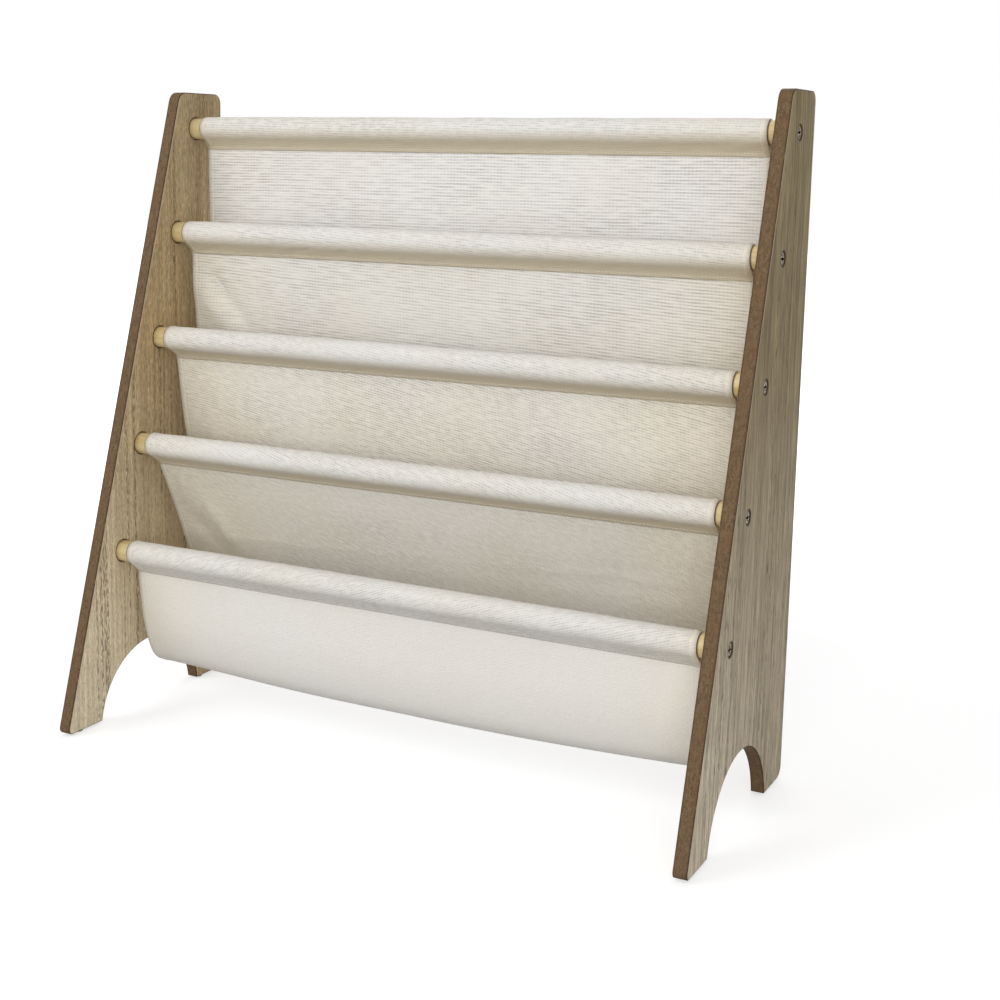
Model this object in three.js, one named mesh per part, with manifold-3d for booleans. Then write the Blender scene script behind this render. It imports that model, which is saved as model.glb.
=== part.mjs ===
// A children's sling bookshelf: two side panels, five rods between them, and four canvas slings that hang
// from the rods as pockets.
// Millimetres. X runs to the shelf's right, Y to its back and Z up. The origin is on the floor, mid-width.
import * as THREE from "three";
import { mergeVertices } from "three/addons/utils/BufferGeometryUtils.js";
import Module from "manifold-3d";

const wasm = await Module();
wasm.setup();

// Whole shelf
const shelfWidth = 620; // over the outer faces of the side panels
const fitGap = 0.3; // air between pieces that touch
const cutOverrun = 2; // how far a cutting body runs past the face that it opens
const weldDistance = 0.001; // corners nearer than this are one corner

// Side panels
const panelHeight = 600;
const panelBaseDepth = 250;
const panelTopDepth = 67;
const panelThickness = 12;
const panelArris = 0.8; // how far the edges of the faces are rounded
const topFrontRadius = 12;
const topBackRadius = 9;
const footFrontRadius = 5;
const footBackRadius = 10;
const footLength = 49.5; // along the floor, from each edge of the panel to the arch
const archRise = 64;

// Rods
const rodCount = 5;
const rodDiameter = 20;
const rodPitch = 101; // from one rod up to the next
const rodTopDrop = 34.6; // from the top of the panel down to the highest rod's axis
const rodSetback = 35.5; // from the front edge back to each axis
const rodChamfer = 1;
const socketDepth = 6; // of the blind hole that takes the rod in the panel
const socketPlay = 0.4; // between the rod and that hole, all round

// Screws
const screwLength = 40;
const screwShankDiameter = 5;
const screwHeadDiameter = 11.6;
const screwHeadRim = 0.5;
const screwHeadSink = 0.7; // from the panel's face down to the head
const screwTipLength = 5;
const recessWidth = 1.8;
const recessSpan = 7;
const recessDepth = 2.2;

// Glides
const glideDiameter = 9;
const glideHeight = 2; // from the floor up to the panel
const glideRim = 0.7;
const glideNailDiameter = 2;
const glideNailLength = 11;
const frontGlideInset = 21; // from the foot of the front edge
const backGlideInset = 40.5; // from the foot of the back edge

// Slings
const slingEndGap = 13; // from each end of the cloth to the panel beside it
const clothThickness = 1.6; // two plies at the seams, drawn as one thickness all over
const seamDrop = 19; // from a rod's axis down to the seam that closes the sleeve
const seamSetbacks = [4, 6, 10, 11, 8]; // how far each seam lies behind its rod's axis
const sewnOverlap = 9; // how far a front sheet runs beside the next back sheet below their seam
const slingDepth = 222; // from a sling's upper rod down to its lowest point, at its two ends
const slingSag = 7; // how much lower the middle hangs
const visibleDrop = 95; // of a back sheet below its seam, as far as the next rod hides it
const backLeans = [1, 7, 16, 46]; // how far each back sheet swings back over that drop
const bellyBacks = [9, 28, 49, 75]; // how far the fullest part of each back sheet lies behind its upper rod
const bellyBackHeights = [44, 50, 51, 52]; // of that place over the sling's lowest point
const turnBacks = [7, 27, 48, 55]; // where each turn at the bottom starts, behind the upper rod
const turnFronts = [18, 35, 62, 34]; // where it ends, behind the lower rod
const bellyFronts = [16, 32, 60, 15]; // how far the fullest part of each front sheet lies behind that rod
const bellyFrontHeights = [34, 34, 30, 40];
const foldDepth = 3;

// Places across a sling where its section is drawn, as shares of half its width
const stationShares = [-1, -0.9, -0.8, -0.66, -0.45, -0.2, 0.1, 0.4, 0.65, 0.85, 1];

// Soft diagonal folds: where each starts at the seam, how far it drifts across on its way to the bottom, how
// wide it is (all as shares of half the width), and its height as a share of foldDepth.
const foldShares = [
  [],
  [{ start: -0.94, drift: 0.5, width: 0.1, height: 0.8 }],
  [{ start: 0.2, drift: 0.5, width: 0.2, height: 0.6 }],
  [
    { start: -0.85, drift: 0.45, width: 0.12, height: 1 },
    { start: 0.5, drift: -0.4, width: 0.2, height: 0.7 },
  ],
];

// How finely round shapes are drawn
const cornerSteps = 5;
const archSteps = 26;
const arrisSteps = 2;
const rodSides = 24;
const screwSides = 16;
const glideSides = 20;
const sleeveSteps = 13;
const bendSteps = 4;

// Worked out from the sizes above
const innerFaceX = shelfWidth / 2 - panelThickness;
const archSpan = panelBaseDepth - 2 * footLength;
const slingHalfWidth = innerFaceX - slingEndGap;
const rodRadius = rodDiameter / 2;
const rodHalfLength = innerFaceX + socketDepth - fitGap;
const shankRadius = screwShankDiameter / 2;
const headRadius = screwHeadDiameter / 2;
const boreRadius = shankRadius + fitGap;
const frontEdgeSlope = (panelBaseDepth - panelTopDepth) / panelHeight;
const rods = Array.from({ length: rodCount }, (_, row) => {
  const height = panelHeight - rodTopDrop - row * rodPitch;
  return new THREE.Vector2(
    -panelBaseDepth / 2 + frontEdgeSlope * height + rodSetback,
    height,
  );
});
const seams = rods.map(
  (rod, row) => new THREE.Vector2(rod.x + seamSetbacks[row], rod.y - seamDrop),
);
const sides = { left: -1, right: 1 };

// Colours and finishes
const finish = (color, roughness, metalness = 0) =>
  new THREE.MeshStandardMaterial({ color, roughness, metalness });
const finishes = {
  panel: () => finish(0xa8957a, 0.55),
  rod: () => finish(0xdcb978, 0.5),
  screw: () => finish(0x6f6a64, 0.35, 1),
  glide: () => finish(0x8a8379, 0.4),
  canvas: () => finish(0xe9e4d6, 0.9),
};

// Solids for cutting

function solidOf(geometry) {
  const bare = new THREE.BufferGeometry();
  bare.setAttribute("position", geometry.getAttribute("position"));
  bare.setIndex(geometry.getIndex());
  const merged = mergeVertices(bare, weldDistance);
  return new wasm.Manifold(
    new wasm.Mesh({
      numProp: 3,
      vertProperties: merged.getAttribute("position").array,
      triVerts: new Uint32Array(merged.getIndex().array),
    }),
  );
}

function geometryOf(solid) {
  const shell = solid.getMesh();
  const corners = new THREE.BufferAttribute(shell.vertProperties, shell.numProp);
  const geometry = new THREE.BufferGeometry();
  geometry.setAttribute("position", corners);
  geometry.setIndex(new THREE.BufferAttribute(shell.triVerts, 1));
  geometry.computeVertexNormals();
  return geometry;
}

function cut(geometry, cutters) {
  let rest = solidOf(geometry);
  for (const cutter of cutters) rest = rest.subtract(solidOf(cutter));
  return geometryOf(rest);
}

function mesh(name, geometry, material) {
  const made = new THREE.Mesh(geometry, material);
  made.name = name;
  return made;
}

// A turned body: its profile is [radius, distance along the axis] from end to end. It stands along +Z.
function turned(profile, sideCount) {
  const points = profile.map(([radius, along]) => new THREE.Vector2(radius, along));
  return new THREE.LatheGeometry(points, sideCount).rotateX(Math.PI / 2);
}

// Turns a body that stands along +Z to lie along X, pointing out of the shelf on that side.
function facing(geometry, side) {
  return geometry.rotateY((side * Math.PI) / 2);
}

// Points on an arc, both ends included.
function arcPoints(centre, radius, from, to, steps) {
  return Array.from({ length: steps + 1 }, (_, step) => {
    const angle = from + ((to - from) * step) / steps;
    return new THREE.Vector2(
      centre.x + radius * Math.cos(angle),
      centre.y + radius * Math.sin(angle),
    );
  });
}

// Points that round the corner between two straight edges, on the way from one to the other.
function roundedCorner(before, corner, after, radius) {
  const back = before.clone().sub(corner).normalize();
  const ahead = after.clone().sub(corner).normalize();
  const halfAngle = Math.acos(back.dot(ahead)) / 2;
  const inwards = back.clone().add(ahead).normalize();
  const centre = corner.clone().addScaledVector(inwards, radius / Math.sin(halfAngle));
  const reach = radius / Math.tan(halfAngle);
  const first = corner.clone().addScaledVector(back, reach).sub(centre);
  const last = corner.clone().addScaledVector(ahead, reach).sub(centre);
  const turn = Math.atan2(first.cross(last), first.dot(last));
  return arcPoints(centre, radius, first.angle(), first.angle() + turn, cornerSteps);
}

// Side panels

// The outline in (Y, Z), counterclockwise from the front foot.
function panelOutline() {
  const frontFoot = new THREE.Vector2(-panelBaseDepth / 2, 0);
  const backFoot = new THREE.Vector2(panelBaseDepth / 2, 0);
  const backTop = new THREE.Vector2(panelBaseDepth / 2, panelHeight);
  const frontTop = new THREE.Vector2(panelBaseDepth / 2 - panelTopDepth, panelHeight);
  const archRadius = (archSpan ** 2 / 4 + archRise ** 2) / (2 * archRise);
  const archCentre = new THREE.Vector2(0, archRise - archRadius);
  const archStart = Math.atan2(-archCentre.y, -archSpan / 2);
  const archEnd = Math.atan2(-archCentre.y, archSpan / 2);
  return [
    ...roundedCorner(frontTop, frontFoot, backFoot, footFrontRadius),
    ...arcPoints(archCentre, archRadius, archStart, archEnd, archSteps),
    ...roundedCorner(frontFoot, backFoot, backTop, footBackRadius),
    ...roundedCorner(backFoot, backTop, frontTop, topBackRadius),
    ...roundedCorner(backTop, frontTop, frontFoot, topFrontRadius),
  ];
}

// Opens the socket, the screw's bore and its countersink round one rod's axis.
function jointCutter() {
  const headDepth = screwHeadSink + screwHeadRim;
  const coneDepth = headRadius - shankRadius;
  const seatRadius = headRadius + fitGap;
  return turned(
    [
      [0, -cutOverrun],
      [rodRadius + socketPlay, -cutOverrun],
      [rodRadius + socketPlay, socketDepth],
      [boreRadius, socketDepth],
      [boreRadius, panelThickness - headDepth - coneDepth - fitGap],
      [seatRadius, panelThickness - headDepth - fitGap],
      [seatRadius, panelThickness + cutOverrun],
      [0, panelThickness + cutOverrun],
    ],
    rodSides,
  );
}

const glidePlaces = {
  front: -panelBaseDepth / 2 + frontGlideInset,
  back: panelBaseDepth / 2 - backGlideInset,
};

function nailCutter() {
  const radius = glideNailDiameter / 2 + fitGap;
  return turned(
    [
      [0, -cutOverrun],
      [radius, -cutOverrun],
      [radius, glideNailLength + fitGap],
      [0, glideNailLength + fitGap],
    ],
    glideSides,
  );
}

function sidePanel(name, side) {
  const board = new THREE.ExtrudeGeometry(new THREE.Shape(panelOutline()), {
    depth: panelThickness - 2 * panelArris,
    bevelThickness: panelArris,
    bevelSize: panelArris,
    bevelOffset: -panelArris,
    bevelSegments: arrisSteps,
  });
  board.translate(0, 0, panelArris - panelThickness / 2);
  const yAxis = new THREE.Vector3(0, 1, 0);
  const zAxis = new THREE.Vector3(0, 0, 1);
  const xAxis = new THREE.Vector3(1, 0, 0);
  board.applyMatrix4(new THREE.Matrix4().makeBasis(yAxis, zAxis, xAxis));
  const joints = rods.map((rod) =>
    facing(jointCutter(), side).translate((-side * panelThickness) / 2, rod.x, rod.y),
  );
  const nailHoles = Object.values(glidePlaces).map((y) => nailCutter().translate(0, y, 0));
  const panel = mesh(name, cut(board, [...joints, ...nailHoles]), finishes.panel());
  panel.position.x = side * (innerFaceX + panelThickness / 2);
  return panel;
}

// Rods, with a pilot hole for the screw in each end

function rod(name, axis) {
  const holeDepth = screwLength - (panelThickness - socketDepth) + fitGap;
  const half = [
    [0, holeDepth - rodHalfLength],
    [boreRadius, holeDepth - rodHalfLength],
    [boreRadius, -rodHalfLength],
    [rodRadius - rodChamfer, -rodHalfLength],
    [rodRadius, rodChamfer - rodHalfLength],
  ];
  const otherHalf = half.map(([radius, along]) => [radius, -along]).reverse();
  const made = mesh(name, facing(turned([...half, ...otherHalf], rodSides), 1), finishes.rod());
  made.position.set(0, axis.x, axis.y);
  return made;
}

// Screws: the head's face is at zero and the tip points inwards

function screwGeometry() {
  const coneDepth = headRadius - shankRadius;
  const body = turned(
    [
      [0, -screwLength],
      [shankRadius, screwTipLength - screwLength],
      [shankRadius, -screwHeadRim - coneDepth],
      [headRadius, -screwHeadRim],
      [headRadius, 0],
      [0, 0],
    ],
    screwSides,
  );
  const slot = (width, length) =>
    new THREE.BoxGeometry(width, length, 2 * recessDepth);
  return cut(body, [slot(recessWidth, recessSpan), slot(recessSpan, recessWidth)]);
}

function screw(name, side, axis) {
  const made = mesh(name, facing(screwGeometry(), side), finishes.screw());
  made.position.set(side * (shelfWidth / 2 - screwHeadSink), axis.x, axis.y);
  return made;
}

// Glides: a domed foot and its nail, seated under the panel

function glide(name, side, y) {
  const radius = glideDiameter / 2;
  const nailRadius = glideNailDiameter / 2;
  const profile = [
    [0, -glideHeight],
    [radius - glideRim, -glideHeight],
    [radius, glideRim - glideHeight],
    [radius, -fitGap],
    [nailRadius, -fitGap],
    [nailRadius, glideNailLength],
    [0, glideNailLength],
  ];
  const made = mesh(name, turned(profile, glideSides), finishes.glide());
  made.position.set(side * (innerFaceX + panelThickness / 2), y, 0);
  return made;
}

// Slings. The lowest one has a sleeve at both ends; the others end at the next sling's seam.

function isLowest(row) {
  return row === rods.length - 2;
}

// Points of a line that follows the corners smoothly: each bend runs between the middles of the two edges
// that meet at its corner.
function smoothLine(corners) {
  const middles = corners
    .slice(1)
    .map((corner, place) => corner.clone().add(corners[place]).divideScalar(2));
  const bends = corners
    .slice(1, -1)
    .flatMap((corner, place) =>
      new THREE.QuadraticBezierCurve(middles[place], corner, middles[place + 1])
        .getPoints(bendSteps)
        .slice(1),
    );
  return [corners[0], middles[0], ...bends, corners.at(-1)];
}

// The middle of the cloth in (Y, Z), from the upper seam down the back sheet, round the bottom and up the
// front sheet to the lower seam. The cloth hangs lower by sag.
function slingPath(row, sag) {
  const upper = rods[row];
  const lower = rods[row + 1];
  const lowest = upper.y - slingDepth - sag;
  const upperSeam = seams[row];
  const lowerSeam = seams[row + 1].clone();
  const overlapEnd = lowerSeam.clone();
  overlapEnd.y -= sewnOverlap;
  if (!isLowest(row)) {
    lowerSeam.x += clothThickness + fitGap;
    overlapEnd.x = lowerSeam.x + (backLeans[row + 1] * sewnOverlap) / visibleDrop;
  }
  const corners = [
    upperSeam,
    new THREE.Vector2(upperSeam.x + backLeans[row], upperSeam.y - visibleDrop),
    new THREE.Vector2(upper.x + bellyBacks[row], lowest + bellyBackHeights[row]),
    new THREE.Vector2(upper.x + turnBacks[row], lowest),
    new THREE.Vector2(lower.x + turnFronts[row], lowest),
    new THREE.Vector2(lower.x + bellyFronts[row], lowest + bellyFrontHeights[row]),
    overlapEnd,
  ];
  return [...smoothLine(corners), lowerSeam];
}

// How far a sling's folds push its cloth out at a place across it and a share of the way along its path.
function foldHeight(row, acrossShare, alongShare) {
  const fade = Math.sin(Math.PI * alongShare) ** 2;
  return foldShares[row].reduce((height, fold) => {
    const distance = (acrossShare - fold.start - fold.drift * alongShare) / fold.width;
    return height + fold.height * foldDepth * fade * Math.exp(-(distance ** 2));
  }, 0);
}

// The direction at right angles to the path at each of its points, to the left of the way along it.
function pathNormals(path) {
  return path.map((_, place) => {
    const before = path[Math.max(place - 1, 0)];
    const after = path[Math.min(place + 1, path.length - 1)];
    const along = after.clone().sub(before).normalize();
    return new THREE.Vector2(-along.y, along.x);
  });
}

// An arc round a rod between the two lines that run from it to a seam, from the back over the top to the
// front. Its straight steps touch the radius and its corners lie outside it.
function sleeveArc(axis, seam, radius) {
  const towardsSeam = seam.clone().sub(axis);
  const open = Math.acos(radius / towardsSeam.length());
  const start = towardsSeam.angle() + open;
  const turn = 2 * Math.PI - 2 * open;
  const cornerRadius = radius / Math.cos(turn / sleeveSteps / 2);
  return arcPoints(axis, cornerRadius, start, start + turn, sleeveSteps);
}

// The hole that a sleeve leaves for its rod, closed just above the seam.
function sleeveHole(axis, seam) {
  const rise = axis.clone().sub(seam).normalize().multiplyScalar(clothThickness);
  const cusp = seam.clone().add(rise);
  return [...sleeveArc(axis, cusp, rodRadius + fitGap), cusp];
}

function sleeveOutside(axis, seam) {
  return sleeveArc(axis, seam, rodRadius + fitGap + clothThickness);
}

// A sling's section in (Y, Z) at one place across it: its outline, and a hole for each sleeve.
function slingSection(row, acrossShare) {
  const sag = slingSag * (1 - acrossShare ** 2);
  const middle = slingPath(row, sag);
  const normals = pathNormals(middle);
  const placed = middle.map((point, place) => {
    const height = foldHeight(row, acrossShare, place / (middle.length - 1));
    return point.clone().addScaledVector(normals[place], height);
  });
  const faceOf = (sideSign) =>
    placed.map((point, place) =>
      point.clone().addScaledVector(normals[place], (sideSign * clothThickness) / 2),
    );
  const sleeved = isLowest(row) ? [row, row + 1] : [row];
  const outsides = sleeved.map((place) => sleeveOutside(rods[place], seams[place]).reverse());
  const [upperOutside, lowerOutside = []] = outsides;
  const outline = [...upperOutside, ...faceOf(1), ...lowerOutside, ...faceOf(-1).reverse()];
  const holes = sleeved.map((place) => sleeveHole(rods[place], seams[place]));
  return { outline, holes };
}

// A closed body through sections that have the same number of points, the ends filled flat.
function lofted(sections, places) {
  const positions = [];
  const corner = (point, place) => positions.push(place, point.x, point.y);
  const triangle = (a, b, c) => [a, b, c].forEach(([point, place]) => corner(point, place));
  const wall = (loopOf) => {
    for (let station = 1; station < sections.length; station += 1) {
      const near = loopOf(sections[station - 1]);
      const far = loopOf(sections[station]);
      near.forEach((point, index) => {
        const next = (index + 1) % near.length;
        const nearPlace = places[station - 1];
        const farPlace = places[station];
        triangle([point, nearPlace], [far[index], farPlace], [near[next], nearPlace]);
        triangle([near[next], nearPlace], [far[index], farPlace], [far[next], farPlace]);
      });
    }
  };
  wall((section) => section.outline);
  sections[0].holes.forEach((_, hole) => wall((section) => section.holes[hole]));
  const cap = (section, place, flipped) => {
    const points = [section.outline, ...section.holes].flat();
    THREE.ShapeUtils.triangulateShape(section.outline, section.holes).forEach((face) => {
      const [a, b, c] = face.map((index) => [points[index], place]);
      if (flipped) triangle(a, c, b);
      else triangle(a, b, c);
    });
  };
  cap(sections[0], places[0], true);
  cap(sections.at(-1), places.at(-1), false);
  const geometry = new THREE.BufferGeometry();
  geometry.setAttribute("position", new THREE.Float32BufferAttribute(positions, 3));
  geometry.computeVertexNormals();
  return geometry;
}

function sling(name, row) {
  const sections = stationShares.map((share) => slingSection(row, share));
  const places = stationShares.map((share) => share * slingHalfWidth);
  return mesh(name, lofted(sections, places), finishes.canvas());
}

// Assembly: everything stands on the glides

const shelf = new THREE.Group();
const standing = new THREE.Group();
standing.position.z = glideHeight;
shelf.add(standing);

for (const [sideName, side] of Object.entries(sides)) {
  standing.add(sidePanel(`side_panel_${sideName}`, side));
  rods.forEach((axis, row) => standing.add(screw(`screw_${sideName}_${row + 1}`, side, axis)));
  for (const [placeName, y] of Object.entries(glidePlaces)) {
    standing.add(glide(`glide_${sideName}_${placeName}`, side, y));
  }
}
rods.forEach((axis, row) => standing.add(rod(`rod_${row + 1}`, axis)));
rods.slice(1).forEach((_, row) => standing.add(sling(`sling_${row + 1}`, row)));

export default shelf;
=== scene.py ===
"""The looks of a children's sling bookshelf: canvas pockets between wood-look panels, on pine rods."""
import math

import bpy
import numpy as np
from mathutils import Matrix, Vector, noise


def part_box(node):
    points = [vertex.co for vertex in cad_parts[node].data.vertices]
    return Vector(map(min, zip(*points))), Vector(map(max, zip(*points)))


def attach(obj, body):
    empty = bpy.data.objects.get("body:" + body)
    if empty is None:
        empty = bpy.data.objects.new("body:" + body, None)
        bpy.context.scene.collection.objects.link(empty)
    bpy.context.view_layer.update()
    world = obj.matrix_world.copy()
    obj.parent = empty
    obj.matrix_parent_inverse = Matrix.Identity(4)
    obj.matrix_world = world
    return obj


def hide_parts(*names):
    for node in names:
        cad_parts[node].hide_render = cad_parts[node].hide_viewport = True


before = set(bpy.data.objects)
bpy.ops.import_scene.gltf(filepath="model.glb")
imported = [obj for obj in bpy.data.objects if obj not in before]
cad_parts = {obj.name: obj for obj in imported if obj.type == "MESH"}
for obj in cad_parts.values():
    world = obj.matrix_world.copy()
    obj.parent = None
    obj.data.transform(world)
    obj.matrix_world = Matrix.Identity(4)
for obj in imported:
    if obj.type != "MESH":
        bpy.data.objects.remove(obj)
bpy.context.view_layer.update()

# Cloth, in metres
CLOTH_HALF_WIDTH = 0.285
PLY = 0.0012  # thickness of the canvas
HEM_PLY = 0.0019  # where it is folded over and sewn
HEM_WIDTH = 0.006
SLEEVE_SLACK = 0.0003  # between a rod and the sleeve round it
SLEEVE_FLARE = 0.0007  # how much looser the sleeve is at its ends
FLARE_REACH = 0.010
# How many degrees further each sleeve goes round under its rod than if it went straight to its seam
SLEEVE_WRAPS = (13, 13, 13, 12, 5)
# How hollow its front ply is below the rod, from 0, straight, to 1, turned downwards
SLEEVE_HOLLOWS = (0.62, 0.62, 0.62, 0.50, 0.25)
SEAM_DROP = 0.019  # from a rod's axis down to the seam of its sleeve
SEAM_SETBACKS = (0.004, 0.006, 0.010, 0.011, 0.008)  # how far each seam lies behind its rod's axis
FRONT_PLY_LEAD = 0.00072  # how far the end of a sleeve's front ply lies in front of its seam
SEWN_OVERLAP = 0.009  # how far a front sheet runs beside the next back sheet
SEWN_GAP = 0.0003
SLING_DEPTH = 0.222  # from a sling's rod down to its lowest point, at its ends
SLING_SAG = 0.007  # how much lower its middle hangs
VISIBLE_DROP = 0.095  # from a seam down to the first corner of the sheet's line
BACK_LEANS = (0.001, 0.007, 0.016, 0.046)  # how far behind its seam that corner lies
# The line's lower corners: how far the back ones lie behind the upper rod's axis and the front ones behind
# the lower rod's, and how high they lie above its lowest point.
BELLY_BACKS = (0.009, 0.028, 0.049, 0.075)
BELLY_BACK_HEIGHTS = (0.044, 0.050, 0.051, 0.052)
TURN_BACKS = (0.007, 0.027, 0.048, 0.055)
TURN_FRONTS = (0.018, 0.035, 0.062, 0.034)
BELLY_FRONTS = (0.016, 0.032, 0.060, 0.015)
BELLY_FRONT_HEIGHTS = (0.034, 0.034, 0.030, 0.040)
CAD_PLY = 0.0016  # thickness of the solid that each sling replaces
LAST_ROW = 3  # the lowest sling, whose front sheet has a sleeve of its own

# How finely the cloth is drawn
ACROSS_STEPS = 114
SHEET_STEPS = 84
SLEEVE_STEPS = 22
BEND_STEPS = 9
TINY = 1e-12  # keeps a length that is divided by from being nothing
X_AXIS = (1.0, 0.0, 0.0)

# Soft diagonal folds of each sling: where each starts across it, how far it drifts across on its way down,
# how wide it is, how far it goes out of the pocket, how far down it is at its fullest and over what length
# it fades.
FOLDS = (
    (
        (0.150, 0.4, 0.030, 0.0010, 0.060, 0.060),
        (-0.235, 0.2, 0.018, -0.0008, 0.050, 0.050),
    ),
    (
        (-0.281, 0.78, 0.011, 0.0034, 0.042, 0.034),
        (-0.304, 0.78, 0.015, -0.0038, 0.056, 0.032),
        (0.190, -0.5, 0.030, 0.0014, 0.060, 0.060),
    ),
    (
        (-0.270, 0.5, 0.016, 0.0012, 0.050, 0.050),
        (0.060, 0.6, 0.030, 0.0014, 0.070, 0.060),
        (0.240, -0.5, 0.020, -0.0012, 0.060, 0.050),
    ),
    (
        (-0.2600, 0.42, 0.010, -0.0036, 0.070, 0.028),
        (-0.3040, 0.60, 0.010, 0.0022, 0.080, 0.030),
        (0.230, -0.7, 0.024, 0.0014, 0.060, 0.060),
    ),
)
WAVE_HEIGHT = 0.0016  # of the broad unevenness of a hanging sheet
WAVE_WIDTH = 0.150
WAVE_LENGTH = 0.110
WAVE_ROW = 7.3  # how far apart the slings lie in the noise that the waves come from
WAVE_START = 2.1  # and where the first one lies
WAVE_POWER = 0.7  # the smaller, the nearer to the seams the waves reach
PUCKER_HEIGHT = 0.001125  # of the small puckers along a seam
PUCKER_WIDTH = 0.011
PUCKER_REACH = 0.014
PUCKER_RISE = 0.0028  # over which they rise from the seam
PUCKER_ROW = 3.7
CREASE_DEPTH = 0.0006  # of the crease across the lowest pocket, where the cloth was folded for packing
CREASE_DROP = 0.072
CREASE_SLOPE = -0.050
CREASE_WIDTH = 0.0022
PUFF_HEIGHT = 0.0006  # how far a sleeve stands off its rod in places
PUFF_WIDTH = 0.045
PUFF_LENGTH = 0.020
PUFF_ROW = 3.1
PUFF_START = 11.0
PUFF_LEVEL = 0.1  # added to the noise that the puffs come from, so that more of the sleeve has them
DRAG_HEIGHT = 0.0009  # of the slanting wrinkles between a rod and the seam below it
DRAG_SLANT = 1.1
DRAG_WIDTH = 0.016
DRAG_LENGTH = 0.040
DRAG_ROW = 5.0
DRAG_MIDDLE = 0.010  # how far from the seam the wrinkles are at their fullest
DRAG_REACH = 0.006

# Stitches
STITCH_LENGTH = 0.0024
STITCH_PITCH = 0.0032
STITCH_RADIUS = 0.00030
STITCH_PROUD = 0.00012  # how far a stitch's middle line lies above the cloth
STITCH_BODY_SHARES = (0.3, 0.7)  # of its length, where its full thickness starts and ends
STITCH_SIDES = 4
SEAM_STITCH_RISE = 0.0030  # along the front ply, from its end up to the stitches of the seam
HEM_STITCH_INSET = 0.0046  # from the cloth's end to the hem's stitches

# The canvas of each sheet: the pitch of its ribs, and their lean, a rise for each length across; how much
# yellower than white it is, and how much yellower still at its ends; its lightness; how strongly the ribs
# show, how often they break, per metre, and how much of them is left there.
SHEET_CANVASES = (
    {"pitch": 0.0027, "lean": 0.0, "yellow": 0.0, "end_yellow": 0.15, "light": 1.01,
     "ribs": 1.0, "breaks": 58.0, "left": 0.25},
    {"pitch": 0.0028, "lean": -0.05, "yellow": 0.25, "end_yellow": 0.50, "light": 0.98,
     "ribs": 1.0, "breaks": 58.0, "left": 0.25},
    {"pitch": 0.0024, "lean": -0.20, "yellow": 0.42, "end_yellow": 0.70, "light": 1.02,
     "ribs": 0.95, "breaks": 95.0, "left": 0.10},
    {"pitch": 0.0023, "lean": -0.36, "yellow": 0.42, "end_yellow": 0.70, "light": 0.99,
     "ribs": 0.75, "breaks": 120.0, "left": 0.0},
)
# The sleeves' canvas has a lower light than the sheets': painted shade that offsets the light their tops
# catch
SLEEVE_CANVAS = {"pitch": 0.0023, "yellow": 0.15, "end_yellow": 0.20, "light": 0.92,
                 "ribs": 0.84, "breaks": 120.0, "left": 0.0}
SLEEVE_LEANS = (0.02, 0.08, 0.17, 0.27, 0.40)  # of the ribs on each sleeve
ROW_SPACING = 0.6  # between the slings on the flat cloth that their patterns are drawn on
CALM_LENGTHS = (0.25, 0.33)  # along the lowest sling, where its ribs fade out
CALM_RIB_SHARE = 0.14  # how much of the ribs is left there
CALM_YELLOW_SHARE = 0.45  # and of its yellow
THREAD_PITCH = 0.0009
COLUMN_PITCH = 0.0034  # of the upright bands in which the ribs show more and less
RIB_WANDER = 0.004  # how far a rib wanders off its line
SLUB_SCALE = 380.0  # of the ribs' breaks, per metre along the cloth
SLUB_NOISE = (2.0, 0.6)  # octaves and roughness
# Each kind of noise has its features per metre along each axis, its octaves and its roughness.
CANVAS_NOISE = {
    "wander": ((6.0, 18.0, 1.0), 2.0, 0.5),
    "fine": ((420.0, 760.0, 1.0), 1.0, 0.5),
    "patch": ((9.0, 16.0, 1.0), 2.0, 0.5),
    "tone": ((7.0, 7.0, 1.0), 2.0, 0.5),
}
# Each range says between which two values of a pattern or a place something changes, and then from what to
# what, or else from 0 to 1.
CROSSING_RANGE = (-0.8, 0.8)
RIB_RANGE = (-1.0, 1.0)
SLUB_RANGE = (0.34, 0.62)
FINE_RANGE = (0.35, 0.70)
COLUMN_RANGE = (-1.0, 1.0, 0.71, 1.05)
PATCH_RANGE = (0.35, 0.65, 0.60, 1.0)
UNEVEN_YELLOW_RANGE = (0.35, 0.70, 0.0, 0.35)
END_RANGE = (0.17, 0.28)  # from the middle of the cloth, where it turns yellower
CROSSING_TONE_RANGE = (0.0, 1.0, 1.035, 0.965)
RIB_STRENGTH = 1.15
GROOVE_BETWEEN_SHARE = 0.60  # of a groove's darkness where threads don't cross
GROOVE_CROSSING_SHARE = 0.80  # and what is added where they do
FINE_SHARE = 0.18
HEM_SHARE = 0.45
HEM_BLUR = 0.0002  # to each side of where the hem's colour starts
HEM_LINE_RANGE = (0.0002, 0.0008, 0.22, 0.0)
# Painted shade under each sleeve's rod, partly the doubled cloth near its seam: darker and yellower towards
# the seam
DOUBLED_AND_SHADE_RANGE = (0.027, 0.013)  # from the front ply's end, where the cloth turns yellower
DOUBLED_AND_SHADE_SHARE = 0.82
WEAVE_RELIEF = 0.25
GROOVE_RELIEF = -1.0
FINE_RELIEF = -0.3
RIB_RELIEF = -0.3
CANVAS_BUMP = {"Strength": 0.60, "Distance": 0.0003}
CANVAS_FINISH = {"Roughness": 0.92, "Sheen Weight": 0.12, "Sheen Roughness": 0.5, "Specular IOR Level": 0.2}
CREAM = (0.828, 0.815, 0.795)
WARM_CREAM = (0.812, 0.760, 0.640)
GROOVE_COLOUR = (0.430, 0.410, 0.405)
WARM_GROOVE_COLOUR = (0.450, 0.405, 0.330)
FINE_COLOUR = (0.520, 0.480, 0.420)
HEM_COLOUR = (0.850, 0.808, 0.700)
HEM_LINE_COLOUR = (0.44, 0.39, 0.31)
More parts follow.
